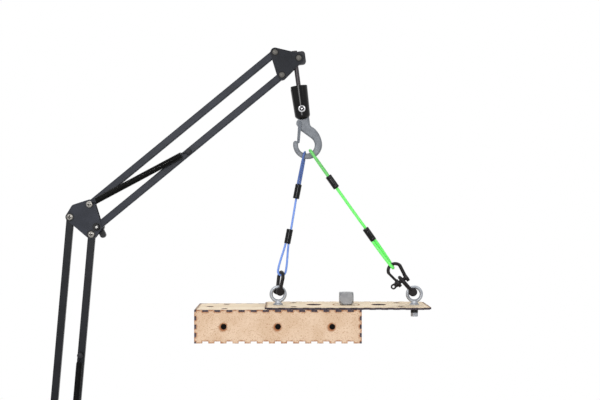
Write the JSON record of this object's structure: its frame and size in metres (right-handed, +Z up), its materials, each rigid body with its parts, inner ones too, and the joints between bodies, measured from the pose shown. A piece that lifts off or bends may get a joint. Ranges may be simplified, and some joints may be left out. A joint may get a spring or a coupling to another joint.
{
  "type": "pulley demonstrator",
  "caption": "Spring-balanced desk clamp arm whose snap hook hangs a finger-jointed box and bolted plate from two wire slings with shackles and eye bolts.",
  "frame": {"origin": "on the post's axis, on the underside of the clamp's upper jaw, where it rests on a desk top", "axes": "+X from the post towards the hanging load, +Y away from the front of the arm, +Z up"},
  "size_m": [0.6045, 0.1, 0.8456],
  "materials": {
    "black_powder_coat": "satin",
    "arm_paint": "satin",
    "plate_paint": "satin",
    "zinc_steel": "satin",
    "dull_rivet_steel": "matte",
    "black_plastic": "satin",
    "black_spring_steel": "gloss",
    "barrel_steel": "satin",
    "rod_steel": "satin",
    "black_anodised": "gloss",
    "button_steel": "gloss",
    "cast_hook": "satin",
    "gate_wire": "satin",
    "blue_rope": "matte",
    "green_rope": "matte",
    "heat_shrink": "satin",
    "black_shackle": "satin",
    "eye_steel": "satin",
    "black_steel": "satin",
    "square_steel": "matte",
    "ply_face": "matte",
    "mdf_side": "matte"
  },
  "bodies": {
    "clamp": {"clamp_frame": "black_powder_coat"},
    "thumbscrew": {"socket_thumbscrew": "black_plastic"},
    "pad": {"clamp_pad": "black_powder_coat"},
    "clamp_spindle": {"clamp_screw": "zinc_steel"},
    "tommy_bar": {"clamp_tommy_bar": "zinc_steel"},
    "post": {"base_post": "black_powder_coat", "base_plate_front": "plate_paint", "base_plate_rear": "plate_paint", "base_pivot_screws": "zinc_steel", "base_rivets": "zinc_steel", "base_nuts": "zinc_steel"},
    "lower_left_bar": {"lower_bar_left": "arm_paint"},
    "lower_right_bar": {"lower_bar_right": "arm_paint", "lower_spring_anchor": "zinc_steel", "lower_spring": "black_spring_steel"},
    "elbow": {"elbow_plate_front": "plate_paint", "elbow_plate_rear": "plate_paint", "elbow_pivot_screws": "zinc_steel", "elbow_nuts": "zinc_steel", "elbow_knob_bolt": "zinc_steel"},
    "elbow_knob": {"elbow_wing_knob": "black_plastic"},
    "upper_top_bar": {"upper_bar_top": "arm_paint"},
    "upper_low_bar": {"upper_bar_low": "arm_paint", "upper_spring_anchor": "zinc_steel", "upper_spring": "black_spring_steel"},
    "head": {"head_plate_front": "plate_paint", "head_plate_rear": "plate_paint", "head_rivets": "dull_rivet_steel", "barrel_pivot_pin": "dull_rivet_steel"},
    "barrel": {"barrel_block": "barrel_steel"},
    "hook": {"hanger_rod": "rod_steel", "hook_adapter": "black_anodised", "adapter_set_screw": "button_steel", "hook_body": "cast_hook", "hook_gate_pin": "gate_wire"},
    "gate": {"hook_gate": "gate_wire"},
    "blue_eye": {"blue_upper_eye": "blue_rope"},
    "blue_leg": {"blue_sling": "blue_rope", "blue_ferrules": "heat_shrink", "left_shackle": "black_shackle", "left_shackle_pin": "black_shackle"},
    "green_eye": {"green_upper_eye": "green_rope"},
    "green_leg": {"green_sling": "green_rope", "green_ferrules": "heat_shrink", "right_upper_shackle": "black_shackle", "right_lower_shackle": "black_shackle", "right_shackle_pins": "black_shackle"},
    "load": {"left_eye_bolt": "eye_steel", "right_eye_bolt": "eye_steel", "eye_bolt_washers": "black_steel", "eye_bolt_nuts": "eye_steel", "square_head_bolt": "square_steel", "square_bolt_nut": "zinc_steel", "top_plate": "ply_face", "box_front": "mdf_side", "box_rear": "mdf_side", "box_end_left": "mdf_side", "box_end_right": "mdf_side", "box_top": "ply_face", "ballast_bar": "black_steel"}
  },
  "joints": [
    {"name": "arm_pan", "type": "hinge", "parent": "clamp", "child": "post", "pos_m": [0, 0, 0.045], "axis": [0, 0, 1], "continuous": true},
    {"name": "thumbscrew_turn", "type": "hinge", "parent": "clamp", "child": "thumbscrew", "pos_m": [0.02, 0, 0.03], "axis": [1, 0, 0], "range_deg": [-1080, 90]},
    {"name": "clamp_feed", "type": "slide", "parent": "clamp", "child": "pad", "axis": [0, 0, 1], "range_m": [-0.0286, 0.0221]},
    {"name": "clamp_screw_turn", "type": "hinge", "parent": "pad", "child": "clamp_spindle", "pos_m": [0, 0, -0.03], "axis": [0, 0, 1], "range_deg": [-6840, 5280]},
    {"name": "tommy_bar_slide", "type": "slide", "parent": "clamp_spindle", "child": "tommy_bar", "axis": [1, 0, 0], "range_m": [-0.023, 0.023]},
    {"name": "lower_arm_swing", "type": "hinge", "parent": "post", "child": "lower_left_bar", "pos_m": [-0.0166, 0, 0.1087], "axis": [0, 1, 0], "range_deg": [-20, 35]},
    {"name": "lower_right_follow", "type": "hinge", "parent": "post", "child": "lower_right_bar", "pos_m": [0.0164, 0, 0.082], "axis": [0, 1, 0], "range_deg": [-20, 35], "deforming": ["lower_spring"]},
    {"name": "elbow_level", "type": "hinge", "parent": "lower_left_bar", "child": "elbow", "pos_m": [0.01547, 0, 0.4753], "axis": [0, 1, 0], "range_deg": [-35, 20]},
    {"name": "elbow_knob_turn", "type": "hinge", "parent": "elbow", "child": "elbow_knob", "pos_m": [0.05697, 0.0065, 0.46], "axis": [0, 1, 0], "range_deg": [-720, 90]},
    {"name": "upper_arm_swing", "type": "hinge", "parent": "elbow", "child": "upper_top_bar", "pos_m": [0.04637, 0, 0.4948], "axis": [0, -1, 0], "range_deg": [-45, 20]},
    {"name": "upper_low_follow", "type": "hinge", "parent": "elbow", "child": "upper_low_bar", "pos_m": [0.05697, 0, 0.46], "axis": [0, -1, 0], "range_deg": [-45, 20], "deforming": ["upper_spring"]},
    {"name": "head_level", "type": "hinge", "parent": "upper_top_bar", "child": "head", "pos_m": [0.33074, 0, 0.72838], "axis": [0, -1, 0], "range_deg": [-20, 45]},
    {"name": "barrel_tilt", "type": "hinge", "parent": "head", "child": "barrel", "pos_m": [0.36724, 0, 0.71968], "axis": [0, -1, 0], "range_deg": [-20, 40]},
    {"name": "hook_swivel", "type": "hinge", "parent": "barrel", "child": "hook", "pos_m": [0.36159, 0, 0.71894], "axis": [-0.1305, 0, 0.9914], "continuous": true},
    {"name": "gate_open", "type": "hinge", "parent": "hook", "child": "gate", "pos_m": [0.36892, 0, 0.62035], "axis": [0, -1, 0], "range_deg": [0, 25], "stiffness_Nm_per_rad": 0.02, "springref_deg": -22.92},
    {"name": "load_swing", "type": "hinge", "parent": "hook", "child": "blue_eye", "pos_m": [0.37908, 0, 0.58608], "axis": [0, 1, 0], "range_deg": [-20, 20], "deforming": ["blue_upper_eye"]},
    {"name": "load_sway", "type": "hinge", "parent": "blue_eye", "child": "blue_leg", "pos_m": [0.37908, 0, 0.56928], "axis": [1, 0, 0], "range_deg": [-20, 20]},
    {"name": "green_swing_follow", "type": "hinge", "parent": "hook", "child": "green_eye", "pos_m": [0.37908, 0, 0.58608], "axis": [0, 1, 0], "range_deg": [-20, 20], "deforming": ["green_upper_eye"]},
    {"name": "green_sway_follow", "type": "hinge", "parent": "green_eye", "child": "green_leg", "pos_m": [0.37908, 0, 0.56928], "axis": [1, 0, 0], "range_deg": [-20, 20]},
    {"name": "load_roll", "type": "hinge", "parent": "blue_leg", "child": "load", "pos_m": [0.3355, 0, 0.36145], "axis": [1, 0, 0], "range_deg": [-10, 10]}
  ],
  "couplings": [
    {"joint": "clamp_feed", "follows": "clamp_screw_turn", "m_per_rad": 0.00023873},
    {"joint": "lower_right_follow", "follows": "lower_arm_swing", "ratio": 1},
    {"joint": "elbow_level", "follows": "lower_arm_swing", "ratio": -1},
    {"joint": "upper_low_follow", "follows": "upper_arm_swing", "ratio": 1},
    {"joint": "head_level", "follows": "upper_arm_swing", "ratio": -1},
    {"joint": "green_swing_follow", "follows": "load_swing", "ratio": 1},
    {"joint": "green_sway_follow", "follows": "load_sway", "ratio": 1}
  ]
}
